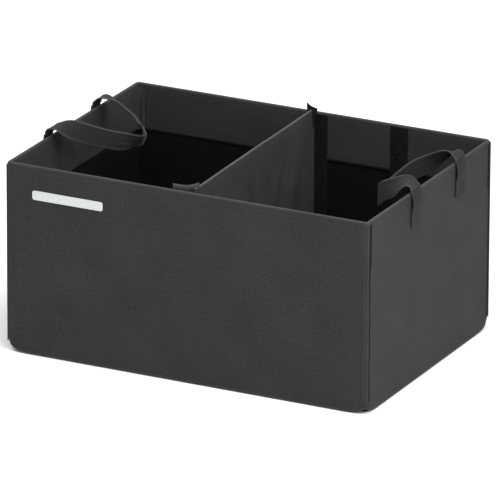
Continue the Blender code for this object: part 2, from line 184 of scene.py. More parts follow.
class Nodes:
    """Short helpers for building one material's node tree."""

    def __init__(self, name):
        self.material = bpy.data.materials.new(name)
        self.material.use_nodes = True
        self.tree = self.material.node_tree
        self.shader = self.tree.nodes["Principled BSDF"]

    def add(self, kind, **settings):
        node = self.tree.nodes.new(kind)
        for key, value in settings.items():
            if key in node.inputs:
                node.inputs[key].default_value = value
            else:
                setattr(node, key, value)
        return node

    def join(self, out, into):
        self.tree.links.new(out, into)

    def maths(self, operation, first, second):
        node = self.add("ShaderNodeMath", operation=operation)
        for socket, value in zip(node.inputs, (first, second)):
            if isinstance(value, (int, float)):
                socket.default_value = value
            else:
                self.join(value, socket)
        return node.outputs[0]

    def total(self, *parts):
        """The sum of several values, each times its share."""
        whole = None
        for value, share in parts:
            part = self.maths("MULTIPLY", value, share)
            whole = part if whole is None else self.maths("ADD", whole, part)
        return whole

    def varied(self, value, spread, middle):
        """A number that varies by spread about its middle."""
        return self.maths("ADD", self.maths("MULTIPLY", value, spread), middle - spread / 2)

    def wave(self, value, rate):
        return self.maths("SINE", self.maths("MULTIPLY", value, rate), 0.0)

    def noise(self, coordinate, scale, detail=2.0, roughness=0.5):
        node = self.add("ShaderNodeTexNoise", Scale=scale, Detail=detail, Roughness=roughness)
        self.join(coordinate, node.inputs["Vector"])
        return node.outputs["Fac"]

    def mixed(self, factor, first, second):
        """A colour between two, each of them a plain colour or another node's output."""
        mix = self.add("ShaderNodeMix", data_type="RGBA")
        self.join(factor, mix.inputs["Factor"])
        for socket, colour in zip((mix.inputs[6], mix.inputs[7]), (first, second)):
            if isinstance(colour, tuple):
                socket.default_value = (*colour, 1)
            else:
                self.join(colour, socket)
        return mix.outputs[2]

    def ramp(self, value, low, high, low_colour, high_colour):
        node = self.add("ShaderNodeMapRange")
        node.inputs["From Min"].default_value = low
        node.inputs["From Max"].default_value = high
        self.join(value, node.inputs["Value"])
        return self.mixed(node.outputs["Result"], low_colour, high_colour)

    def cloth_split(self):
        """The cloth's own coordinates in metres, whole and as two numbers."""
        uv = self.add("ShaderNodeUVMap").outputs["UV"]
        split = self.add("ShaderNodeSeparateXYZ")
        self.join(uv, split.inputs[0])
        return uv, split.outputs[0], split.outputs[1]

    def finish(self, colour, height, bump, depth):
        """Wire in the colour and the relief."""
        self.join(colour, self.shader.inputs["Base Color"])
        bumped = self.add("ShaderNodeBump", Strength=bump, Distance=depth)
        self.join(height, bumped.inputs["Height"])
        self.join(bumped.outputs["Normal"], self.shader.inputs["Normal"])

    def fabric_gloss(self, rough, sheen, sheen_roughness):
        """Wire in the roughness, and set the weak sheen and gloss of a matte fabric."""
        self.join(rough, self.shader.inputs["Roughness"])
        self.shader.inputs["Sheen Weight"].default_value = sheen
        self.shader.inputs["Sheen Roughness"].default_value = sheen_roughness
        self.shader.inputs["Specular IOR Level"].default_value = 0.15


def scaled(colour, share):
    return tuple(channel * share for channel in colour)


def stretched(n, uv):
    """The cloth's coordinates pulled out along one thread direction, for slubs in the yarn."""
    node = n.add("ShaderNodeMapping", Scale=(0.22, 1.0, 1.0))
    n.join(uv, node.inputs["Vector"])
    return node.outputs["Vector"]


def woven(name, colour, thread, contrast, bump, roughness, sheen, edge_highlight=0.0):
    """Plain weave: crossing threads for bump, mottled yarn colour, and a patchy painted highlight on
    rims, top edges and ridges.
    """
    n = Nodes(name)
    uv, across, along = n.cloth_split()
    rate = math.tau / thread
    weave = n.maths("MULTIPLY", n.wave(across, rate), n.wave(along, rate))
    yarn = n.noise(uv, 1.0 / (thread * 2.6), 3.0, 0.7)
    cloud = n.noise(uv, 14.0, 4.0, 0.6)
    slub = n.noise(stretched(n, uv), 1.0 / (thread * 3.0), 2.0, 0.5)
    tone = n.total((yarn, 0.65), (cloud, 0.25), (slub, 0.10), (weave, 0.05))
    base = n.ramp(tone, 0.33, 0.67, scaled(colour, 1 - contrast), scaled(colour, 1 + contrast))
    # Painted highlight: where the edge mask is set, the colour is mixed towards a far paler one.
    if edge_highlight:
        highlit = n.add("ShaderNodeAttribute", attribute_name="edge_highlight").outputs["Fac"]
        patchy = n.maths("ADD", n.maths("MULTIPLY", cloud, 0.8), 0.3)
        painted_highlight = n.maths("MULTIPLY", n.maths("MULTIPLY", highlit, patchy), edge_highlight)
        base = n.mixed(painted_highlight, base, scaled(colour, 4.5))
    n.finish(base, n.total((weave, 0.5), (yarn, 0.9)), bump, 0.0006)
    n.fabric_gloss(n.varied(yarn, 0.18, roughness), sheen, 0.45)
    return n.material


def ribbed(name, colour, rib, bump=0.6):
    """Narrow webbing or binding: ribs across its width, a herringbone along it, and a painted highlight
    on its edges.
    """
    n = Nodes(name)
    uv, across, along = n.cloth_split()
    rate = math.tau / rib
    slant = n.maths("MULTIPLY", n.maths("PINGPONG", across, rib * 3), 0.9)
    rows = n.wave(n.maths("ADD", along, slant), rate)
    height = n.maths("ADD", rows, n.maths("MULTIPLY", n.wave(across, rate * 0.8), 0.5))
    yarn = n.noise(uv, 700.0, 2.0, 0.6)
    tone = n.maths("ADD", n.maths("MULTIPLY", height, 0.10), yarn)
    base = n.ramp(tone, 0.30, 0.75, scaled(colour, 0.85), scaled(colour, 1.15))
    # Painted highlight: masked edges are mixed towards a far paler colour.
    highlit = n.add("ShaderNodeAttribute", attribute_name="edge_highlight").outputs["Fac"]
    base = n.mixed(n.maths("MULTIPLY", highlit, 0.6), base, scaled(colour, 4.0))
    n.finish(base, height, bump, 0.0005)
    n.fabric_gloss(n.varied(yarn, 0.2, 0.7), 0.03, 0.4)
    return n.material


def fuzzy(name, colour):
    """Loop tape: curled tufts, with painted shade in the gaps between them."""
    n = Nodes(name)
    uv = n.add("ShaderNodeUVMap").outputs["UV"]
    cells = n.add("ShaderNodeTexVoronoi", Scale=520.0)
    n.join(uv, cells.inputs["Vector"])
    tone = n.total((cells.outputs["Distance"], 0.7), (n.noise(uv, 900.0, 4.0, 0.7), 0.6))
    base = n.ramp(tone, 0.25, 0.95, scaled(colour, 0.35), scaled(colour, 2.2))
    n.finish(base, tone, 0.9, 0.0012)
    n.shader.inputs["Roughness"].default_value = 0.95
    n.shader.inputs["Specular IOR Level"].default_value = 0.05
    return n.material


def plain_grain(name, colour, roughness, scale=240.0, bump=0.15):
    """Moulded board, thread or reflective film: fine grain in colour, gloss and height."""
    n = Nodes(name)
    place = n.add("ShaderNodeTexCoord").outputs["Object"]
    grain = n.noise(place, scale, 3.0, 0.6)
    n.finish(n.ramp(grain, 0.3, 0.7, scaled(colour, 0.88), scaled(colour, 1.1)), grain, bump, 0.0004)
    n.join(n.varied(grain, 0.2, roughness), n.shader.inputs["Roughness"])
    return n.material


SHELL_COLOUR = (0.0268, 0.0266, 0.0280)
LINING_COLOUR = (0.0015, 0.0015, 0.0015)
DIVIDER_COLOUR = (0.0310, 0.0308, 0.0306)
WEBBING_COLOUR = (0.0212, 0.0231, 0.0216)
TAPE_COLOUR = (0.0052, 0.0055, 0.0053)
THREAD_COLOUR = (0.0260, 0.0258, 0.0265)
# Dark seam colour; on the corner seams and the hem seams its darkness is partly painted shade.
SEAM_COLOUR = (0.0060, 0.0059, 0.0062)
BINDING_COLOUR = (0.0300, 0.0297, 0.0302)
BOARD_COLOUR = (0.0900, 0.0900, 0.0890)
MARK_COLOUR = (0.5400, 0.5600, 0.5600)

MATERIALS = {
    "shell_fabric": woven(
        "shell_weave", SHELL_COLOUR, 0.0011,
        contrast=0.42, bump=0.6, roughness=0.84, sheen=0.03, edge_highlight=0.45,
    ),
    "lining_fabric": woven(
        "lining_weave", LINING_COLOUR, 0.0008, contrast=0.35, bump=0.3, roughness=0.88, sheen=0.0,
    ),
    "divider_fabric": woven(
        "divider_weave", DIVIDER_COLOUR, 0.0010,
        contrast=0.38, bump=0.5, roughness=0.84, sheen=0.03, edge_highlight=0.6,
    ),
    "seam": woven(
        "seam_tape", SEAM_COLOUR, 0.0007, contrast=0.20, bump=0.4, roughness=0.85, sheen=0.02,
    ),
    "webbing": ribbed("strap_webbing", WEBBING_COLOUR, 0.0014),
    # Painted shade: a darker copy of the webbing for the strap ends on the walls.
    "webbing_end_shaded": ribbed("strap_end_webbing_painted_shade", scaled(WEBBING_COLOUR, 0.52), 0.0014),
    "binding": ribbed("edge_binding", BINDING_COLOUR, 0.0010, bump=0.4),
    "loop_tape": fuzzy("loop_tape_fuzz", TAPE_COLOUR),
    "thread": plain_grain("sewing_thread", THREAD_COLOUR, 0.6, scale=2000.0, bump=0.3),
    "stiffener": plain_grain("stiffener_board", BOARD_COLOUR, 0.55),
    "mark": plain_grain("reflective_mark", MARK_COLOUR, 0.35, scale=900.0, bump=0.1),
}


# ---------------- mesh helpers


def make_object(name, bm, kind, smooth=50):
    """A named object from a mesh, with its procedural material."""
    bmesh.ops.recalc_face_normals(bm, faces=bm.faces)
    mesh = bpy.data.meshes.new(name)
    bm.to_mesh(mesh)
    bm.free()
    mesh.materials.append(MATERIALS[kind])
    piece = bpy.data.objects.new(name, mesh)
    bpy.context.scene.collection.objects.link(piece)
    mesh.shade_smooth()
    mesh.set_sharp_from_angle(angle=math.radians(smooth))
    return piece


def lofted(cells, closed_rows=False, caps=False):
    """A mesh through rows of cells: each is a point, its place on the cloth in metres, and its share of
    painted highlight.

    A closed row's place on the cloth runs on by UV_CLOSING past its last point.
    """
    bm = bmesh.new()
    layer = bm.loops.layers.uv.new("UVMap")
    # The per-vertex mask for painted highlight on rims, ridges and edges.
    highlit = bm.verts.layers.float.new("edge_highlight")
    grid = [[bm.verts.new(point) for point, _, _ in row] for row in cells]
    for verts, row in zip(grid, cells):
        for vert, (_, _, share) in zip(verts, row):
            vert[highlit] = share
    count = len(cells[0])
    span = count if closed_rows else count - 1
    for i in range(len(cells) - 1):
        for j in range(span):
            after = (j + 1) % count
            corners = [(i, j), (i, after), (i + 1, after), (i + 1, j)]
            face = bm.faces.new([grid[a][b] for a, b in corners])
            for loop, (a, b) in zip(face.loops, corners):
                u, v = cells[a][b][1]
                if closed_rows and after == 0 and b == 0:
                    v = cells[a][-1][1][1] + UV_CLOSING
                loop[layer].uv = (u, v)
    if caps:
        bm.faces.new(grid[0])
        bm.faces.new(list(reversed(grid[-1])))
    return bm


def surface(place, firsts, seconds, **form):
    """A mesh through the cells that place(first, second) gives."""
    return lofted([[place(first, second) for second in seconds] for first in firsts], **form)


def bridge(bm, rings):
    """Side faces between closed rings of vertices, each to the next."""
    for ring, following in zip(rings, rings[1:]):
        for corner in range(len(ring)):
            after = (corner + 1) % len(ring)
            bm.faces.new((ring[corner], ring[after], following[after], following[corner]))


def cloth_piece(name, bm, kind, thickness, offset=0.0):
    """A cloth surface with its real thickness, so that its mesh is closed."""
    piece = make_object(name, bm, kind)
    solid = piece.modifiers.new("cloth_thickness", "SOLIDIFY")
    solid.thickness = thickness
    solid.offset = offset
    solid.use_even_offset = False
    graph = bpy.context.evaluated_depsgraph_get()
    made = bpy.data.meshes.new_from_object(piece.evaluated_get(graph), depsgraph=graph)
    piece.modifiers.clear()
    piece.data = made
    made.shade_smooth()
    made.set_sharp_from_angle(angle=math.radians(60))
    return piece


def ripple(place, size, seed):
    """Smooth noise from -1 to 1 at a point, for cloth that isn't quite flat."""
    return noise.noise((Vector(place) / size) + Vector((seed * 17.3, seed * 5.1, seed * 9.7)))


def steps_between(low, high, step):
    """Evenly spaced numbers from low to high, no further apart than step."""
    count = max(1, math.ceil(abs(high - low) / step))
    return [low + (high - low) * i / count for i in range(count + 1)]


def stitch_row(points, normals, pitch=STITCH_PITCH):
    """Short threads laid along a line of points, each a small six-sided capsule."""
    bm = bmesh.new()
    travelled = 0.0
    due = pitch / 2
    for here, after, normal in zip(points, points[1:], normals):
        run = after - here
        length = run.length
        if length < 1e-9:
            continue
        along = run / length
        side = along.cross(normal).normalized()
        while due <= travelled + length:
            centre = here + along * (due - travelled) + normal * STITCH_RADIUS * 0.4
            add_stitch(bm, centre, along, side, normal)
            due += pitch
        travelled += length
    return bm


def add_stitch(bm, centre, along, side, normal):
    """One thread between two needle holes."""
    rings = []
    for share, girth in ((-0.5, 0.35), (-0.3, 1.0), (0.3, 1.0), (0.5, 0.35)):
        middle = centre + along * share * STITCH_LENGTH
        ring = []
        for corner in range(STITCH_CORNERS):
            angle = math.tau * corner / STITCH_CORNERS
            away = side * math.cos(angle) + normal * math.sin(angle)
            ring.append(bm.verts.new(middle + away * STITCH_RADIUS * girth))
        rings.append(ring)
    bridge(bm, rings)
    bm.faces.new(list(reversed(rings[0])))
    bm.faces.new(rings[-1])


def join_meshes(parts):
    """One mesh that holds several."""
    whole = bmesh.new()
    for part in parts:
        mesh = bpy.data.meshes.new("part")
        part.to_mesh(mesh)
        part.free()
        whole.from_mesh(mesh)
        bpy.data.meshes.remove(mesh)
    return whole


# ---------------- outer fabric


FOOT_REACH = 0.030
FOOT_HEIGHT = 0.018
FOOT_SOFTNESS = 0.009
FOOT_LIFT = 0.0075
LONG_LIP = 0.0100
END_LIP = 0.0064
CORNER_LIP = 0.0040
FOLD_DEPTH = 0.0008
HEM_FREEDOM = 1.4
HEM_SOFTNESS = 0.0004
# Strength of the painted highlight along the rounded corner ridges.
RIDGE_HIGHLIGHT = 0.55
CORNER_BEND = 0.0065
CREASE_BEND = 0.011
CREASE_SHARE = 0.46


def corner_place(x, y):
    """Distances in from the nearest corner, along X and along Y."""
    return HALF_WIDTH - abs(x), HALF_DEPTH - abs(y)


def corner_cut(u, v, towards_u, towards_v, radius):
    """How far in, from a place near a corner, a rounder corner of this radius lies."""
    if min(u, v) > radius or max(u, v) >= radius:
        return 0.0
    a, b = u - radius, v - radius
    half = a * towards_u + b * towards_v
    under = half * half - (a * a + b * b - radius * radius)
    if under <= 0:
        return 0.0
    return max(0.0, -half - math.sqrt(under))


def foot_shape(x, y, inward, z):
    """Depth and height of the cloth near the floor, where the corners are soft and lifted."""
    u, v = corner_place(x, y)
    near = max(0.0, 1 - math.hypot(u, v) / FOOT_REACH)
    low = max(0.0, 1 - z / FOOT_HEIGHT)
    radius = CORNER_RADIUS + FOOT_SOFTNESS * low ** 1.5
    towards_u = abs(inward[0])
    towards_v = abs(inward[1])
    depth = corner_cut(u, v, towards_u, towards_v, radius)
    lift = FOOT_LIFT * near ** 1.6 * low
    return depth, z + lift


def wall_profile(x, y):
    """Section of a wall's outer cloth: under-lip, outer face, rim, and the hem inside.

    Each entry is a distance inwards, a height, how freely the cloth may ripple, and its share of painted
    highlight.
    """
    u, v = corner_place(x, y)
    on_corner = u < CORNER_RADIUS + 1e-6 and v < CORNER_RADIUS + 1e-6
    lip = LONG_LIP if v < u else END_LIP
    lip = CORNER_LIP if on_corner else lip
    r = EDGE_RADIUS
    # The last number is painted highlight: on the foot's bend, over the top of the rim and at the hem's
    # lower edge.
    points = [(max(lip, r), 0.0, 0.0, 0.0)]
    for step in range(5):
        angle = math.radians(90 * step / 4)
        points.append((r * (1 - math.sin(angle)), r * (1 - math.cos(angle)), 0.0, 0.5))
    shoulder = HEIGHT - RIM_HALF
    for z in (0.004, 0.007, 0.0105, 0.0145):
        points.append((0.0, z, 0.3, 0.0))
    for z in steps_between(0.0205, shoulder - 0.004, FACE_STEP):
        points.append((0.0, z, 1.0, 0.0))
    for step in range(9):
        angle = math.radians(180 * step / 8)
        inward = RIM_HALF * (1 - math.cos(angle))
        highlit = max(0.0, math.sin(angle)) ** 2
        points.append((inward, shoulder + RIM_HALF * math.sin(angle), 0.15, highlit))
    for z in steps_between(shoulder - 0.004, HEM_BOTTOM + 0.002, FACE_STEP):
        points.append((WALL, z, HEM_FREEDOM, 0.0))
    points.append((WALL, HEM_BOTTOM, 0.6, 0.3))
    points.append((WALL - FOLD_DEPTH, HEM_BOTTOM - 0.0002, 0.0, 0.0))
    return points


def ripple_depth(x, y, z, outer):
    """How far the cloth bellies at a place on a wall. It is calm at the rim, foot and corners."""
    u, v = corner_place(x, y)
    calm_corner = min(1.0, math.hypot(u, v) / 0.05)
    calm_edges = min(1.0, z / 0.03) * min(1.0, (HEIGHT - z) / 0.018)
    broad = ripple((x, y, z), 0.12, 1)
    small = ripple((x, y, z * 0.6), 0.045, 2)
    if outer:
        band = math.exp(-((z - HEM_BOTTOM) / 0.004) ** 2)
        soft = (0.0010 * broad + 0.0005 * small - 0.0002) * calm_corner * calm_edges
        return soft - 0.00035 * band * calm_edges
    soft = ripple((x, y, z * 0.35), 0.030, 3)
    crumple = ripple((x, y, z + 0.6 * y), 0.020, 4)
    slack = 1.0 if v > u else 0.35
    belly = 0.0002 + 0.0006 * broad + (0.0014 * soft + 0.0018 * crumple) * slack
    return -0.5 * (belly + math.sqrt(belly ** 2 + HEM_SOFTNESS ** 2)) * calm_edges


def moved_in(x, y, inward, depth, z):
    """A point at some depth behind a place on the crate's outline."""
    return x + inward[0] * depth, y + inward[1] * depth, z


def wall_cloth(name, path):
    """Outer cloth along a path of (point, inward direction, distance, painted highlight on the ridge) in
    plan.
    """
    cells = []
    for (x, y), inward_way, distance, ridge in path:
        row = []
        profile = wall_profile(x, y)
        climbed = 0.0
        last = profile[0][:2]
        for inward, z, freedom, highlit in profile:
            climbed += math.hypot(inward - last[0], z - last[1])
            last = (inward, z)
            outer = inward < RIM_HALF
            cut_depth, lifted = foot_shape(x, y, inward_way, z)
            depth = inward + cut_depth - ripple_depth(x, y, z, outer) * freedom
            edge_highlight = min(1.0, highlit + (ridge if outer and z > 0.012 else 0.0))
            row.append((moved_in(x, y, inward_way, depth, lifted), (distance, climbed), edge_highlight))
        cells.append(row)
    return cloth_piece(name, lofted(cells), "shell_fabric", CLOTH)


def long_path(side):
    """Plan of the front (-1) or back (1) cloth, with both rounded corners."""
    path = []
    centre_x = HALF_WIDTH - CORNER_RADIUS
    centre_y = HALF_DEPTH - CORNER_RADIUS
    arc = CORNER_RADIUS * math.pi / 2
    for end in (-1, 1):
        corner = []
        for step in range(9):
            angle = math.radians(90 * step / 8)
            outward = (end * math.cos(angle), side * math.sin(angle))
            x = end * centre_x + CORNER_RADIUS * outward[0]
            y = side * centre_y + CORNER_RADIUS * outward[1]
            # Painted highlight along the corner's ridge.
            ridge = RIDGE_HIGHLIGHT * math.sin(2 * angle) ** 2
            distance = end * (centre_x + arc * (1 - step / 8))
            corner.append(((x, y), (-outward[0], -outward[1]), distance, ridge))
        for inset in (0.003, 0.006, 0.0095):
            x = end * (centre_x - inset)
            corner.append(((x, side * HALF_DEPTH), (0, -side), x, 0.0))
        if end < 0:
            path += corner
            for x in steps_between(-centre_x + 0.014, centre_x - 0.014, FACE_STEP):
                path.append(((x, side * HALF_DEPTH), (0, -side), x, 0.0))
        else:
            path += list(reversed(corner))
    return path


def end_path(end, start, finish):
    """Plan of an end wall's cloth between two places along Y."""
    marks = [start]
    step_sign = 1 if finish > start else -1
    while abs(finish - marks[-1]) > 1e-6:
        here = marks[-1]
        near = min(abs(here), abs(HALF_DEPTH - abs(here)))
        step = 0.0025 if near < 0.016 else FACE_STEP
        marks.append(here + step_sign * min(step, abs(finish - here)))
    return [((end * HALF_WIDTH, y), (-end, 0), HALF_WIDTH + y, 0.0) for y in marks]


def end_segments():
    """How each end wall's cloth is cut, and which bodies each length of it follows."""
    far = HALF_DEPTH - CORNER_RADIUS
    middle = HALF_DEPTH * CREASE_SHARE
    bend = CORNER_BEND
    for end_name, end in ENDS:
        near_body, far_body = end_name + "_front", end_name + "_back"
        creased = (near_body, far_body, -CREASE_BEND, CREASE_BEND)
        yield near_body, end, -far, -middle, ("front", near_body, -HINGE_Y - bend, -HINGE_Y + bend)
        yield end_name + "_crease", end, -middle, middle, creased
        if end < 0:
            yield far_body, end, far, middle, ("back", far_body, HINGE_Y + bend, HINGE_Y - bend)
        else:
            yield far_body, end, HINGE_Y, middle, (far_body,)
            yield "right_back_corner", end, far, HINGE_Y, ("back",)


def follow(piece, end, bodies):
    """Let a length of end-wall cloth ride on one body; a length between two bodies is only fixed where
    it stands.
    """
    if len(bodies) == 1:
        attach(piece, bodies[0])
        return
    a, b, start_y, end_y = bodies
    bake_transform(piece)


def make_outer_cloth():
    """Outer cloth of the long walls with their corners, and of the end walls in lengths."""
    skins = ("_outer_panel", "_rim_fold", "_hem_facing")
    for side_name, side in SIDES:
        piece = wall_cloth(side_name + "_wall_cloth", long_path(side))
        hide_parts(*[side_name + suffix for suffix in skins])
        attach(piece, side_name)
    for name, end, start, finish, bodies in end_segments():
        piece = wall_cloth(name + "_wall_cloth", end_path(end, start, finish))
        if name + "_outer_panel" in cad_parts:
            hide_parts(*[name + suffix for suffix in skins])
        follow(piece, end, bodies)


# ---------------- lining


LINING_TUCK = 0.004
LINING_THICK = 0.0006
LINING_BELLY = 0.0011
LINING_LAP = 0.0004


def lining_depth(x, y, z, along, length):
    """How far in from the outer face the lining hangs. It is slack low down and tucked in at the top."""
    top = HEM_BOTTOM + LINING_TUCK
    slack = min(1.0, (top - z) / 0.03)
    held = min(1.0, along / 0.015, (length - along) / 0.015)
    belly = 1 + ripple((x, y, z), 0.060, 4) + 0.6 * ripple((x, y, z), 0.022, 5)
    return WALL - LINING_THICK + LINING_BELLY * belly * slack * max(0.0, held)


def lining_sheet(name, places, inward_way, bodies, end, nodes):
    """Lining on the lower part of a wall, through places given as (x, y, along, length)."""
    def place(spot, z):
        x, y, along, length = spot
        depth = lining_depth(x, y, z, along, length)
        return moved_in(x, y, inward_way, depth, z), (along, z), 0.0

    levels = steps_between(BASE_TOP + 0.0015, HEM_BOTTOM + LINING_TUCK, FACE_STEP)
    bm = surface(place, places, levels)
    piece = cloth_piece(name, bm, "lining_fabric", LINING_THICK)
    if nodes:
        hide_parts(*nodes)
    follow(piece, end, bodies)


def make_linings():
    """Linings of all the walls."""
    inner_x = HALF_WIDTH - WALL + LINING_LAP
    inner_y = HALF_DEPTH - WALL + LINING_LAP
    for name, side in SIDES:
        places = [
            (x, side * HALF_DEPTH, x + inner_x, 2 * inner_x)
            for x in steps_between(-inner_x, inner_x, FACE_STEP)
        ]
        lining_sheet(name + "_wall_lining", places, (0, -side), (name,), 1, [name + "_lining"])
    for name, end, start, finish, bodies in end_segments():
        if abs(start) > HALF_DEPTH - 0.01:
            start = math.copysign(inner_y, start)
        places = [
            (x, y, y + inner_y, 2 * inner_y) for (x, y), _, _, _ in end_path(end, start, finish)
        ]
        nodes = [name + "_lining"] if name + "_lining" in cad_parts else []
        lining_sheet(name + "_wall_lining", places, (-end, 0), bodies, end, nodes)


SEAM_TOP = HEIGHT - 0.004
SEAM_BOTTOM = 0.016
SEAM_INSET = 0.0050
SEAM_STEPS = 6
PLEAT_TOP = HEIGHT - 0.0045
PLEAT_BOTTOM = HEM_BOTTOM + 0.0005
PLEAT_THICK = 0.0006
PLEAT_SECTION = [
    (0.0190, -0.0006), (0.0165, 0.0010), (0.0142, 0.0030), (0.0122, 0.0012), (0.0100, 0.0020),
    (0.0076, 0.0058), (0.0052, 0.0040), (0.0040, 0.0052), (0.0058, 0.0076), (0.0020, 0.0100),
    (0.0012, 0.0122), (0.0030, 0.0142), (0.0010, 0.0165), (-0.0006, 0.0190),
]


def pleat_cell(side, end, z, index):
    """A place on a pleat: it swells from nothing at the rim to its fullest low down."""
    across, deep = PLEAT_SECTION[index]
    share = (PLEAT_TOP - z) / (PLEAT_TOP - PLEAT_BOTTOM)
    swell = math.sin(math.pi * min(1.0, share * 0.72)) ** 0.8
    seed = (index * 0.013, z, end * 0.1 + side * 0.2)
    jitter = 0.0010 * ripple(seed, 0.022, 6)
    out_x = across * (swell if across < deep else 1.0) + jitter * swell
    out_y = deep * (swell if deep < across else 1.0) + jitter * swell
    x = end * (HALF_WIDTH - WALL + PLEAT_THICK - out_x)
    y = side * (HALF_DEPTH - WALL + PLEAT_THICK - out_y)
    return (x, y, z), (index * 0.004, z), 0.0


def seam_cell(side, end, z, step):
    """A place on a corner's seam allowance, wider and higher where the hem doubles it."""
    hemmed = 1 / (1 + math.exp(-(z - HEM_BOTTOM) / 0.0015))
    width = 0.0028 + 0.0022 * hemmed
    height = 0.0006 + 0.0007 * hemmed
    wobble = 0.0004 * ripple((end, side, z), 0.03, 31)
    share = step / SEAM_STEPS
    y = side * (HALF_DEPTH - SEAM_INSET - width * share + wobble)
    x = end * (HALF_WIDTH + 0.0002 + height * math.sin(math.pi * share) ** 0.6)
    return (x, y, z), (width * share, z), 0.0


def make_in_corners(ending, cell, levels, places, kind, thickness):
    """One piece in each of the four corners. It rides with its long wall."""
    for (side_name, side), (end_name, end) in product(SIDES, ENDS):
        name = "_".join((side_name, end_name, ending))
        bm = surface(partial(cell, side, end), levels, places)
        piece = cloth_piece(name, bm, kind, thickness)
        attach(piece, side_name)


def make_corner_pleats():
    """Soft folds of spare hem cloth in the inner corners, from the rim down to the hem's seam."""
    levels = steps_between(PLEAT_BOTTOM, PLEAT_TOP, 0.0045)
    places = range(len(PLEAT_SECTION))
    make_in_corners("corner_pleat", pleat_cell, levels, places, "shell_fabric", PLEAT_THICK)


def make_corner_seams():
    """A seam allowance beside each corner ridge, doubled behind the hem; its dark colour is painted
    shade of the groove beside the ridge.
    """
    levels = steps_between(SEAM_BOTTOM, SEAM_TOP, 0.004)
    make_in_corners("corner_seam", seam_cell, levels, range(SEAM_STEPS + 1), "seam", 0.0004)


# ---------------- base


GUSSET_LAP = 0.006
GUSSET_THICK = 0.0008


def base_half_outline(half, inset):
    """Outline of a base board, pulled in by inset."""
    near = half * (0.0005 + inset * 0.3)
    far = half * (BASE_FAR_Y - inset)
    wide = BASE_WIDE - 2.4 * inset
    narrow = BASE_NARROW - 1.2 * inset
    return [(-wide, far), (wide, far), (narrow, near), (-narrow, near)]


def make_base():
    """Two covered base boards with rounded edges, and the soft triangles beside them."""
    levels = (
        (0.0012, 0.0), (0.0003, 0.0005), (0.0, 0.0012), (0.0, BASE_TOP - 0.0014),
        (0.0004, BASE_TOP - 0.0004), (0.0016, BASE_TOP), (0.0060, BASE_TOP + 0.0002),
    )
    for name, half in (("base_front", -1), ("base_back", 1)):
        bm = bmesh.new()
        layer = bm.loops.layers.uv.new("UVMap")
        rings = [
            [bm.verts.new((x, y, z)) for x, y in base_half_outline(half, inset)]
            for inset, z in levels
        ]
        bridge(bm, rings)
        bm.faces.new(rings[0])
        bm.faces.new(rings[-1])
        for face in bm.faces:
            for loop in face.loops:
                co = loop.vert.co
                loop[layer].uv = (co.x, co.y + co.z)
        piece = make_object(name + "_covered_board", bm, "lining_fabric", 40)
        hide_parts(name + "_outer_fabric", name + "_board", name + "_lining")
        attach(piece, name)
    for end_name, end in ENDS:
        make_gusset(end_name, end)


def make_gusset(end_name, end):
    """A floor triangle of slack cloth. It rides with the front wall."""
    node = "floor_gusset_" + end_name
    low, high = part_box(node)
    wall_x = high.x if end > 0 else low.x
    tip_x = low.x if end > 0 else high.x
    reach = high.y

    def place(share, across):
        x = wall_x + (tip_x - end * GUSSET_LAP - wall_x) * share
        y = min(reach, reach * (1 - share) + GUSSET_LAP) * across
        slack = (1 - across ** 2) * math.sin(math.pi * min(1, share + 0.1))
        z = 0.0011 + 0.0022 * slack * (0.6 + 0.5 * ripple((x, y, 0), 0.04, 8))
        return (x, y, z), (x, y), 0.0

    bm = surface(place, steps_between(0.0, 1.0, 0.05), steps_between(-1.0, 1.0, 0.1))
    piece = cloth_piece(node + "_cloth", bm, "lining_fabric", GUSSET_THICK)
    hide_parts(node)
    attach(piece, "front")
    fold_onto_front(piece)


def fold_onto_front(piece):
    """Give a soft piece that spans the crate its own copy of its mesh."""
    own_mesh(piece)


# ---------------- divider


DIVIDER_FRONT_SHIFT = 0.0105
DIVIDER_BACK_SHIFT = 0.0040
DIVIDER_RISE = 0.0015
DIVIDER_STEP = 0.005
DIVIDER_CREASES = (
    (0.30, 0.16, 0.030, -0.0042, 0.80),
    (0.44, 0.10, 0.028, -0.0060, 0.88),
    (0.52, -0.02, 0.034, 0.0036, 0.92),
    (0.66, -0.16, 0.026, -0.0036, 0.84),
    (0.80, -0.24, 0.026, -0.0066, 0.94),
    (0.87, -0.20, 0.022, 0.0044, 0.97),
    (0.94, -0.12, 0.020, -0.0040, 0.99),
    (0.14, 0.12, 0.036, -0.0034, 0.82),
)
BINDING_HALF = 0.0013
BINDING_DROP = 0.0035
FLANGE_THICK = 0.0009
BACK_TAB_CUT = 0.028


def divider_lean(y, z):
    """Sideways place of the divider's middle: set askew by hand, with a few soft creases."""
    low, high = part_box("divider_left_skin")
    run = (y - low.y) / (high.y - low.y)
    rise = min(1.0, (z - low.z) / (high.z - low.z))
    hung = max(0.0, math.sin(math.pi * min(1.0, max(0.0, run)))) ** 0.6 * (1 - 0.75 * rise ** 6)
    creases = 0.0
    for start, slant, width, depth, top in DIVIDER_CREASES:
        offset = (run - start - slant * (1 - rise)) / (width * (0.6 + 0.9 * (1 - rise)))
        fade = min(1.0, max(0.0, (top - rise) / 0.25))
        creases += depth * math.exp(-offset * offset) * fade
    wander = ripple((0, y, z), 0.10, 11) + 0.5 * ripple((0, y, z), 0.035, 12)
    skew = DIVIDER_FRONT_SHIFT * (1 - run) + DIVIDER_BACK_SHIFT * run
    return skew + (creases + 0.0044 * wander) * hung


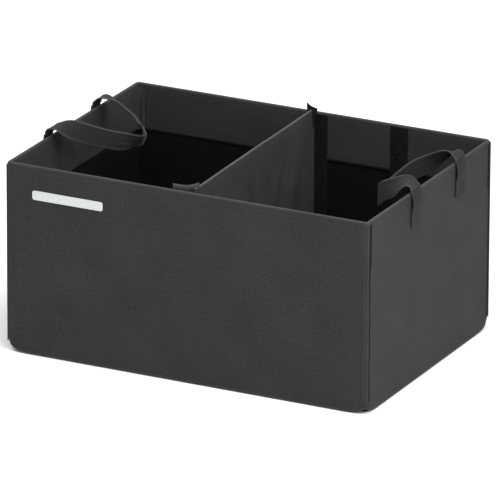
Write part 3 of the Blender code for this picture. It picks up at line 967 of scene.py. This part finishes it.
def make_divider():
    """The padded divider panel, its bound edge and its two hook flanges."""
    low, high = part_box("divider_left_skin")
    half_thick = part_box("divider_right_skin")[1].x
    top = high.z + DIVIDER_RISE
    heights = steps_between(low.z, top, DIVIDER_STEP)
    around = [(-1, z) for z in heights] + [(1, z) for z in reversed(heights)]

    def place(y, level):
        face, z = level
        edge = min(1.0, (z - low.z) / 0.005 + 0.35, (top - z) / 0.006 + 0.30)
        puff = 1 + 0.16 * ripple((face * 0.1, y, z), 0.03, 12)
        point = (divider_lean(y, z) + face * half_thick * edge * puff, y, z)
        # The last value is painted highlight along the panel's top edge.
        return point, (y, z if face < 0 else 2 * top - z), max(0.0, 1 - (top - z) / 0.003)

    lengths = steps_between(low.y, high.y, DIVIDER_STEP)
    bm = surface(place, lengths, around, closed_rows=True, caps=True)
    panel = make_object("divider_panel", bm, "divider_fabric", 60)
    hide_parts("divider_left_skin", "divider_core", "divider_right_skin")
    make_divider_binding(low, high, top)
    make_flanges()
    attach(panel, "divider")
    fold_onto_front(panel)


def make_divider_binding(low, high, top):
    """Narrow folded tape over the divider's top edge."""
    section = [(-BINDING_HALF, top - BINDING_DROP)]
    for step in range(9):
        angle = math.radians(180 - 180 * step / 8)
        z = top - 0.0006 + BINDING_HALF * math.sin(angle)
        section.append((BINDING_HALF * math.cos(angle), z))
    section.append((BINDING_HALF, top - BINDING_DROP))

    def place(y, index):
        x, z = section[index]
        wobble = 0.0003 * ripple((x, y, z), 0.02, 13)
        point = (x + wobble + divider_lean(y, top), y, z + wobble)
        # The last value is painted highlight along the binding's crown.
        return point, (index * 0.0012, y), 1.0 if 2 < index < 8 else 0.0

    lengths = steps_between(low.y - 0.001, high.y + 0.001, DIVIDER_STEP)
    bm = surface(place, lengths, range(len(section)))
    binding = cloth_piece("divider_edge_binding", bm, "divider_fabric", 0.0007, 1.0)
    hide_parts("divider_top_binding")
    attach(binding, "divider")
    fold_onto_front(binding)


def flange_cell(side, low, high, top, x, z):
    """A place on a hook flange: the front one humps and bends in, the back one is cut on a slant."""
    middle_y = (low.y + high.y) / 2
    across = (high.x - x) / (high.x - low.x)
    share = (z - low.z) / (top - low.z)
    dip = 0.0012 * math.sin(math.pi * min(1.0, across * 1.2)) * share ** 8
    curl = 0.0006 * ripple((x, side, z), 0.03, 14)
    free = max(0.0, (z - (HEIGHT - 0.012)) / 0.02)
    if side < 0:
        skew = DIVIDER_FRONT_SHIFT
        bend = 0.0050 * (1 - across) ** 2
        hump = bend * share ** 6
        cut = 0.0
    else:
        skew = DIVIDER_BACK_SHIFT
        bend = 0.0
        hump = 0.0
        cut = BACK_TAB_CUT * max(0.0, across)
    y = middle_y - side * (0.0004 + abs(curl) + 0.0012 * free * across + bend)
    # The last value is painted highlight along the flange's top edge.
    return (x + skew, y, z - dip + hump - cut * share), (x, z), 1.0 if share > 0.985 else 0.0


def make_flanges():
    """Hook flanges at the divider's two ends, turned to the left against the loop strips."""
    for side_name, side, rise in (("front", -1, 0.0056), ("back", 1, -0.0040)):
        node = "divider_" + side_name + "_hook_flange"
        low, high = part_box(node)
        top = HEIGHT + rise
        widths = steps_between(low.x, high.x + 0.001, 0.0035)
        levels = steps_between(low.z, top, 0.006)
        bm = surface(partial(flange_cell, side, low, high, top), widths, levels)
        name = "divider_" + side_name + "_flange_cloth"
        piece = cloth_piece(name, bm, "divider_fabric", FLANGE_THICK)
        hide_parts(node)
        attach(piece, "divider")
        fold_onto_front(piece)
    make_back_ear()


def make_back_ear():
    """The divider's back top corner, a small folded tip that stands over the rim."""
    far_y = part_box("divider_left_skin")[1].y

    def place(share, across):
        x = DIVIDER_BACK_SHIFT - 0.0070 + 0.0150 * across * (0.65 + 0.35 * share)
        y = far_y - 0.0012 - 0.0030 * math.sin(math.pi * across)
        z = HEIGHT - 0.020 + 0.0325 * share - 0.0060 * across * share
        return (x, y, z), (x, z), 0.6 * share ** 4

    bm = surface(place, steps_between(0.0, 1.0, 0.2), steps_between(0.0, 1.0, 0.25))
    ear = cloth_piece("divider_back_ear", bm, "seam", FLANGE_THICK)
    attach(ear, "divider")
    fold_onto_front(ear)


# ---------------- straps


ANCHOR_LOW, ANCHOR_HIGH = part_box("left_front_strap_anchor")
STRAP_HALF = (ANCHOR_HIGH.y - ANCHOR_LOW.y) / 2
STRAP_THICK = ANCHOR_HIGH.x - ANCHOR_LOW.x
STRAP_AXIS_X = HALF_WIDTH + 0.0003 + STRAP_THICK / 2
STRAP_AXIS_Z = HEIGHT + 0.0022
LEFT_LOOP = [
    (0.0000, 1.00, 0.0022),
    (0.0015, 1.00, 0.0080),
    (0.0080, 1.00, 0.0125),
    (0.0200, 0.97, 0.0125),
    (0.0400, 0.90, 0.0080),
    (0.0620, 0.74, 0.0010),
    (0.0810, 0.50, -0.0060),
    (0.0930, 0.24, -0.0105),
    (0.0970, 0.00, -0.0120),
]
RIGHT_LOOP = [
    (0.0000, 1.00, 0.0022),
    (0.0015, 1.00, 0.0080),
    (0.0080, 1.00, 0.0115),
    (0.0180, 0.97, 0.0090),
    (0.0360, 0.86, -0.0030),
    (0.0560, 0.66, -0.0150),
    (0.0690, 0.42, -0.0270),
    (0.0765, 0.18, -0.0345),
    (0.0785, 0.00, -0.0370),
]
LEFT_TURNS = (
    (0.00, 0), (0.13, 0), (0.28, 78), (0.37, 92), (0.49, 134), (0.55, 94), (0.62, 58), (0.72, 40),
    (0.90, 0), (1.00, 0),
)
RIGHT_TURNS = ((0.00, 0), (0.09, 0), (0.30, 90), (0.70, 90), (0.91, 0), (1.00, 0))
STRAP_END_LIFT = 0.0012
STRAP_END_LOOSE = 0.0024
STRAP_SEAM_SHARE = 0.84
LOOP_STEPS = 8
BOX_SEAM_SHARE = 0.80
BOX_SEAM_PITCH = 0.0032


def smooth_curve(points, steps):
    """Points along a Catmull-Rom curve through the given points."""
    ends = [2 * points[0] - points[1], 2 * points[-1] - points[-2]]
    padded = [ends[0]] + points + [ends[1]]
    curve = []
    for before, here, after, beyond in zip(padded, padded[1:], padded[2:], padded[3:]):
        for step in range(steps):
            t = step / steps
            a = 2 * here
            b = after - before
            c = 2 * before - 5 * here + 4 * after - beyond
            d = 3 * here - before - 3 * after + beyond
            curve.append(0.5 * (a + b * t + c * t * t + d * t ** 3))
    curve.append(points[-1].copy())
    return curve


def loop_line(end, centre_y, spacing, half_loop, steps):
    """A handle's middle line over the rim, into the crate and back."""
    front = []
    for inward, share, rise in half_loop:
        y = centre_y - share * spacing / 2
        front.append(Vector((end * (STRAP_AXIS_X - inward), y, HEIGHT + rise)))
    back = [Vector((p.x, 2 * centre_y - p.y, p.z)) for p in reversed(front[:-1])]
    return smooth_curve(front + back, steps)


def loop_turn(share, turns):
    """Turn of the strap's width at a share of its loop, from (share, degrees) pairs: 0 is flat."""
    for (start, before), (end, after) in zip(turns, turns[1:]):
        if share <= end:
            step = (share - start) / (end - start)
            return math.radians(before + (after - before) * step * step * (3 - 2 * step))
    return math.radians(turns[-1][1])


def flat_sides(line, end):
    """The level direction across a loop at each point of its line."""
    last = len(line) - 1
    sides = []
    for index in range(len(line)):
        run = line[min(index + 1, last)] - line[max(index - 1, 0)]
        sides.append(Vector((end * run.y, -end * run.x, 0)).normalized())
    return sides


def strap_section():
    """Section of a flat strap with soft round edges: (across, through), both from -1 to 1."""
    top = [(a, 1.0) for a in (-0.93, -0.84, -0.30, 0.30, 0.84, 0.93)]
    return top + [(1.0, 0.0)] + [(a, -b) for a, b in reversed(top)] + [(-1.0, 0.0)]


def strap_frames(line, sides, turns):
    """Point, width direction, normal and distance travelled at each place along a strap."""
    last = len(line) - 1
    travelled = 0.0
    frames = []
    for index, point in enumerate(line):
        if index:
            travelled += (point - line[index - 1]).length
        along = (line[min(index + 1, last)] - line[max(index - 1, 0)]).normalized()
        across = sides[index] * math.cos(turns[index]) + Vector((0, 0, math.sin(turns[index])))
        across = (across - along * across.dot(along)).normalized()
        frames.append((point, across, along.cross(across), travelled))
    return frames


def strap_mesh(frames):
    """A flat strap with round edges through its frames, its width along each one's direction."""
    section = strap_section()

    def place(spot, position):
        point, across, normal, travelled = spot
        a, b = section[position]
        bow = 0.0007 * ripple(point, 0.05, 20) * (1 - a * a)
        thick = STRAP_THICK / 2 * b * (1.0 if abs(a) < 0.95 else 0.6)
        uv = (a * STRAP_HALF, travelled + (0.5 if position > 6 else 0.0))
        # The last value marks the strap's edges for painted highlight.
        return point + across * a * STRAP_HALF + normal * (thick + bow), uv, float(abs(a) > 0.9)

    return surface(place, frames, range(len(section)), closed_rows=True, caps=True)


def make_handles():
    """Both strap loops and the four sewn strap ends."""
    for end_name, end, half_loop, turn_table in (
        ("left", -1, LEFT_LOOP, LEFT_TURNS),
        ("right", 1, RIGHT_LOOP, RIGHT_TURNS),
    ):
        front_low, front_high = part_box(end_name + "_front_strap_anchor")
        back_low, back_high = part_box(end_name + "_back_strap_anchor")
        front_y = (front_low.y + front_high.y) / 2
        back_y = (back_low.y + back_high.y) / 2
        centre_y = (front_y + back_y) / 2
        line = loop_line(end, centre_y, back_y - front_y, half_loop, LOOP_STEPS)
        turns = [loop_turn(i / (len(line) - 1), turn_table) for i in range(len(line))]
        frames = strap_frames(line, flat_sides(line, end), turns)
        strap = make_object(end_name + "_handle_loop", strap_mesh(frames), "webbing")
        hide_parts(end_name + "_handle_strap")
        seams = []
        for edge, face in product((-STRAP_SEAM_SHARE, STRAP_SEAM_SHARE), (-1, 1)):
            lift = face * STRAP_THICK * 0.55
            points = [p + a * edge * STRAP_HALF + n * lift for p, a, n, _ in frames]
            seams.append(stitch_row(points, [n * face for _, _, n, _ in frames]))
        stitches = make_object(end_name + "_handle_stitching", join_meshes(seams), "thread")
        for piece in (strap, stitches):
            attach(piece, end_name + "_handle")
            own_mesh(piece)
        for half_name, y in (("front", front_y), ("back", back_y)):
            make_strap_end(end_name + "_" + half_name, end, y, front_low.z)


def make_strap_end(body, end, y, low_z):
    """A strap end on the outside of an end wall, sewn down with a crossed box."""
    line = []
    for z in steps_between(STRAP_AXIS_Z + 0.0004, low_z, 0.0035):
        share = (z - low_z) / (STRAP_AXIS_Z - low_z)
        loose = min(1.0, max(0.0, (share - 0.40) / 0.60))
        proud = STRAP_END_LIFT + STRAP_END_LOOSE * math.sin(math.pi * loose) ** 2
        line.append(Vector((end * (STRAP_AXIS_X + proud), y, z)))
    frames = strap_frames(line, [Vector((0, 1, 0))] * len(line), [0.0] * len(line))
    # The strap end takes the darker copy of the webbing: painted shade.
    strap = make_object(body + "_strap_end", strap_mesh(frames), "webbing_end_shaded")
    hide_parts(body + "_strap_anchor")
    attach(strap, body)
    x = end * (STRAP_AXIS_X + STRAP_THICK / 2 + STRAP_END_LIFT)
    left, right = y - STRAP_HALF * BOX_SEAM_SHARE, y + STRAP_HALF * BOX_SEAM_SHARE
    bottom, top = low_z + 0.0022, low_z + 0.0175
    outline = [(left, bottom), (right, bottom), (right, top), (left, top), (left, bottom), (right, top)]
    seams = []
    for route in (outline, [(right, bottom), (left, top)]):
        points = [Vector((x, a, b)) for a, b in route]
        seams.append(stitch_row(points, [Vector((end, 0, 0))] * len(points), BOX_SEAM_PITCH))
    box_seam = make_object(body + "_strap_box_stitch", join_meshes(seams), "thread")
    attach(box_seam, body)


# ---------------- tape, mark and seams


TAPE_LIFT = 0.0008
TAPE_STEP = 0.0022
TAPE_THICK = 0.0005
TAPE_EDGE = 0.0012
PILE_DEPTH = 0.0005
PILE_RATE = 900
BACK_TAPE_REACH = 0.0060
MARK_LEFT = -HALF_WIDTH + 0.038
MARK_RIGHT = -HALF_WIDTH + 0.138
MARK_BOTTOM = HEIGHT - 0.044
MARK_TOP = HEIGHT - 0.032
MARK_RADIUS = 0.003
MARK_OUT = 0.0014
MARK_THICK = 0.0016
MARK_BEVEL = 0.0003
HEM_SEAM_SECTION = ((0.0, 0.0014), (0.0006, 0.0008), (0.0007, -0.0004), (0.0001, -0.0012))
RIM_SEAM = HEIGHT - 0.007
HEM_SEAM = HEM_BOTTOM + 0.0035


def make_loop_tape():
    """Loop strips with an uneven pile."""
    for (side_name, side), place_name in product(SIDES, ("centre", "side")):
        node = side_name + "_" + place_name + "_loop_strip"
        low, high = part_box(node)
        inner_y = high.y if side < 0 else low.y
        if node == "back_centre_loop_strip":
            low.x = -BACK_TAPE_REACH

        def place(x, z):
            edge = min(x - low.x, high.x - x, z - low.z) < TAPE_EDGE
            pile = -0.0009 if edge else PILE_DEPTH * noise.noise(Vector((x, z, side)) * PILE_RATE)
            return (x, inner_y - side * (pile + TAPE_LIFT), z), (x, z), 0.0

        levels = steps_between(low.z, high.z + TAPE_STEP, TAPE_STEP)
        bm = surface(place, steps_between(low.x, high.x, TAPE_STEP), levels)
        piece = cloth_piece(node + "_pile", bm, "loop_tape", TAPE_THICK)
        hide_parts(node)
        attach(piece, side_name)


def make_mark():
    """A plain reflective bar, high on the front wall's left."""
    left, right = MARK_LEFT + MARK_RADIUS, MARK_RIGHT - MARK_RADIUS
    bottom, top = MARK_BOTTOM + MARK_RADIUS, MARK_TOP - MARK_RADIUS
    outline = []
    for x, z, start in ((left, bottom, 180), (right, bottom, 270), (right, top, 0), (left, top, 90)):
        for step in range(7):
            angle = math.radians(start + 15 * step)
            outline.append((x + MARK_RADIUS * math.cos(angle), z + MARK_RADIUS * math.sin(angle)))
    middle = Vector(((MARK_LEFT + MARK_RIGHT) / 2, (MARK_BOTTOM + MARK_TOP) / 2))
    bm = bmesh.new()
    rings = []
    for lift, bevel in ((MARK_THICK, 0.0), (0.0002, 0.0), (0.0, MARK_BEVEL)):
        ring = []
        for x, z in outline:
            pull = (middle - Vector((x, z))).normalized() * bevel
            ring.append(bm.verts.new((x + pull.x, -HALF_DEPTH - MARK_OUT + lift, z + pull.y)))
        rings.append(ring)
    bridge(bm, rings)
    bm.faces.new(rings[0])
    bm.faces.new(rings[-1])
    mark = make_object("reflective_bar", bm, "mark", 30)
    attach(mark, "front")


def on_wall(x, y, inward, z, outer):
    """A point on the rippled surface of a wall's cloth."""
    freedom = 1.0 if outer else HEM_FREEDOM
    inner_depth = 0.0 if outer else WALL
    lift = CLOTH / 2 if outer else -CLOTH / 2
    depth = inner_depth - ripple_depth(x, y, z, outer) * freedom - lift
    return Vector(moved_in(x, y, inward, depth, z))


def make_hem_seams():
    """The sunken seam line that closes each hem's lower edge; its dark colour is painted shade under the
    hem's edge.
    """
    lengths = steps_between(-HALF_WIDTH + 0.008, HALF_WIDTH - 0.008, FACE_STEP)
    for side_name, side in SIDES:
        def place(x, index):
            lift, rise = HEM_SEAM_SECTION[index]
            base = on_wall(x, side * HALF_DEPTH, (0, -side), HEM_BOTTOM + 0.0006, False)
            return (base.x, base.y - side * lift, base.z + rise), (x, index * 0.0008), 0.0

        bm = surface(place, lengths, range(len(HEM_SEAM_SECTION)))
        piece = cloth_piece(side_name + "_hem_seam", bm, "seam", 0.0003)
        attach(piece, side_name)


def stitch_wall(body, places, inward):
    """Stitched rows on one wall: below the rim on both faces, and along the hem's lower edge."""
    runs = []
    for z, outer in ((RIM_SEAM, True), (RIM_SEAM, False), (HEM_SEAM, False)):
        points = [on_wall(x, y, inward, z, outer) for x, y in places]
        away = Vector((*inward, 0)) * (-1 if outer else 1)
        runs.append(stitch_row(points, [away] * len(points)))
    piece = make_object(body + "_wall_stitching", join_meshes(runs), "thread")
    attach(piece, body)


def make_wall_stitches():
    """Stitching on every wall, clear of the corners and of the end walls' middle creases."""
    for side_name, side in SIDES:
        lengths = steps_between(-HALF_WIDTH + 0.010, HALF_WIDTH - 0.010, 0.004)
        stitch_wall(side_name, [(x, side * HALF_DEPTH) for x in lengths], (0, -side))
    for (end_name, end), (half_name, half) in product(ENDS, SIDES):
        lengths = steps_between(0.001, HINGE_Y - 0.010, 0.004)
        places = [(end * HALF_WIDTH, half * y) for y in lengths]
        stitch_wall(end_name + "_" + half_name, places, (-end, 0))


def dress_cad_nodes():
    """Give the CAD pieces that stay in view their material."""
    for name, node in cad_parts.items():
        for ending, kind in (("stiffener", "stiffener"), ("corner_piping", "binding")):
            if name.endswith(ending):
                node.data.materials.clear()
                node.data.materials.append(MATERIALS[kind])


make_camera()
make_studio()
make_outer_cloth()
make_linings()
make_corner_pleats()
make_corner_seams()
make_base()
make_divider()
make_handles()
make_loop_tape()
make_hem_seams()
make_mark()
make_wall_stitches()
dress_cad_nodes()
